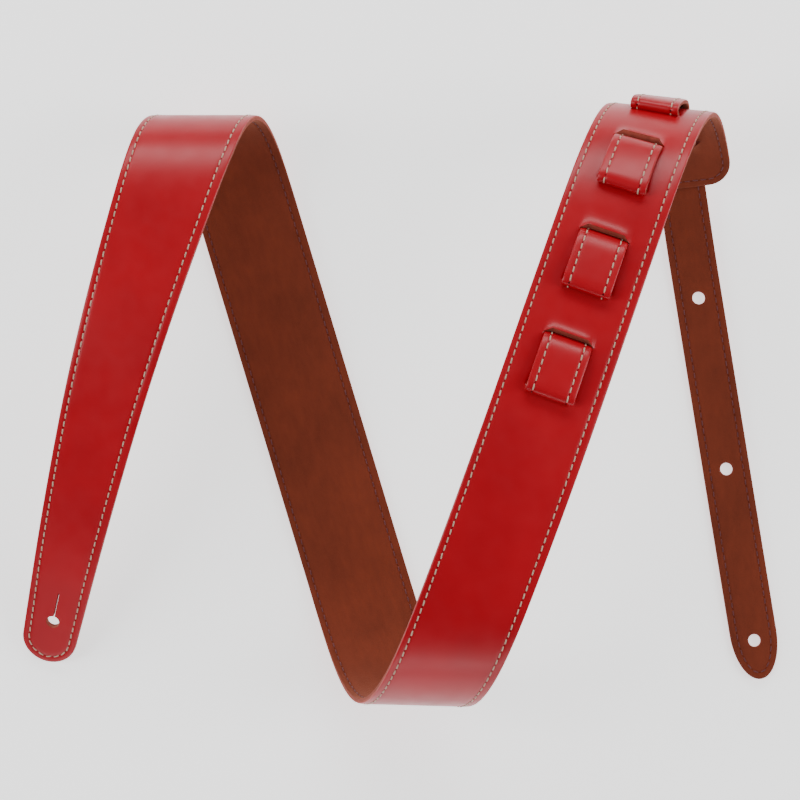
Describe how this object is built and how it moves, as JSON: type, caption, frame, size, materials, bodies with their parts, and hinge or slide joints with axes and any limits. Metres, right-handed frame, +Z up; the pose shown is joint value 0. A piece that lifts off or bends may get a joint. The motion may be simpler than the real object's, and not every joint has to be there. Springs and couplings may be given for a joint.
{
  "type": "guitar strap",
  "caption": "Lined leather guitar strap with a tapered button end and a narrow tail woven through a ladder of slits, lying folded.",
  "frame": {"origin": "centre of the folded strap's footprint, on the surface that it lies on", "axes": "+Z up from the surface, +X along the longest side of the footprint from the button end towards the free tail, +Y from the strap's two ends towards its two crests"},
  "size_m": [0.3861, 0.3032, 0.1278],
  "materials": {
    "outer_leather": "smooth glossy red grain leather with raw cut edges",
    "lining": "brushed rust-brown suede",
    "top_thread": "waxed cream sewing thread",
    "back_thread": "dull maroon sewing thread"
  },
  "bodies": {
    "middle_span": {"middle_span_leather": "outer_leather", "middle_span_lining": "lining", "middle_span_top_thread_left": "top_thread", "middle_span_top_thread_right": "top_thread", "middle_span_back_thread_left": "back_thread", "middle_span_back_thread_right": "back_thread"},
    "button_end": {"button_end_leather": "outer_leather", "button_end_lining": "lining", "button_end_top_thread": "top_thread", "button_end_back_thread": "back_thread"},
    "ladder_span": {"ladder_span_leather": "outer_leather", "ladder_span_lining": "lining", "ladder_span_top_thread_left": "top_thread", "ladder_span_top_thread_right": "top_thread", "ladder_span_back_thread_left": "back_thread", "ladder_span_back_thread_right": "back_thread", "woven_tail_leather": "outer_leather", "woven_tail_lining": "lining", "woven_tail_top_thread_left": "top_thread", "woven_tail_top_thread_right": "top_thread", "woven_tail_back_thread_left": "back_thread", "woven_tail_back_thread_right": "back_thread"},
    "end_flap": {"end_flap_leather": "outer_leather", "end_flap_lining": "lining", "end_flap_top_thread": "top_thread", "end_flap_back_thread": "back_thread", "crest_tail_leather": "outer_leather", "crest_tail_lining": "lining", "crest_tail_top_thread_left": "top_thread", "crest_tail_top_thread_right": "top_thread", "crest_tail_back_thread_left": "back_thread", "crest_tail_back_thread_right": "back_thread", "tail_bend_leather": "outer_leather", "tail_bend_lining": "lining"},
    "tail": {"tail_leather": "outer_leather", "tail_lining": "lining", "tail_top_thread": "top_thread", "tail_back_thread": "back_thread"}
  },
  "joints": [
    {"name": "near_fold", "type": "hinge", "parent": "middle_span", "child": "button_end", "pos_m": [-0.09724, 0.14503, 0.03654], "axis": [-1, 0, 0], "range_deg": [0, 60]},
    {"name": "trough_fold", "type": "hinge", "parent": "middle_span", "child": "ladder_span", "pos_m": [0.00303, -0.15048, 0.04799], "axis": [0.9996, -0.0279, 0], "range_deg": [0, 50]},
    {"name": "far_fold", "type": "hinge", "parent": "ladder_span", "child": "end_flap", "pos_m": [0.1283, 0.14185, 0.06476], "axis": [-0.9922, 0.1003, -0.0745], "range_deg": [0, 20]},
    {"name": "tail_slide", "type": "slide", "parent": "end_flap", "child": "tail", "axis": [0.1586, -0.9873, 0.0047], "range_m": [-0.008, 0.008], "deforming": ["tail_bend_leather", "tail_bend_lining"]}
  ]
}
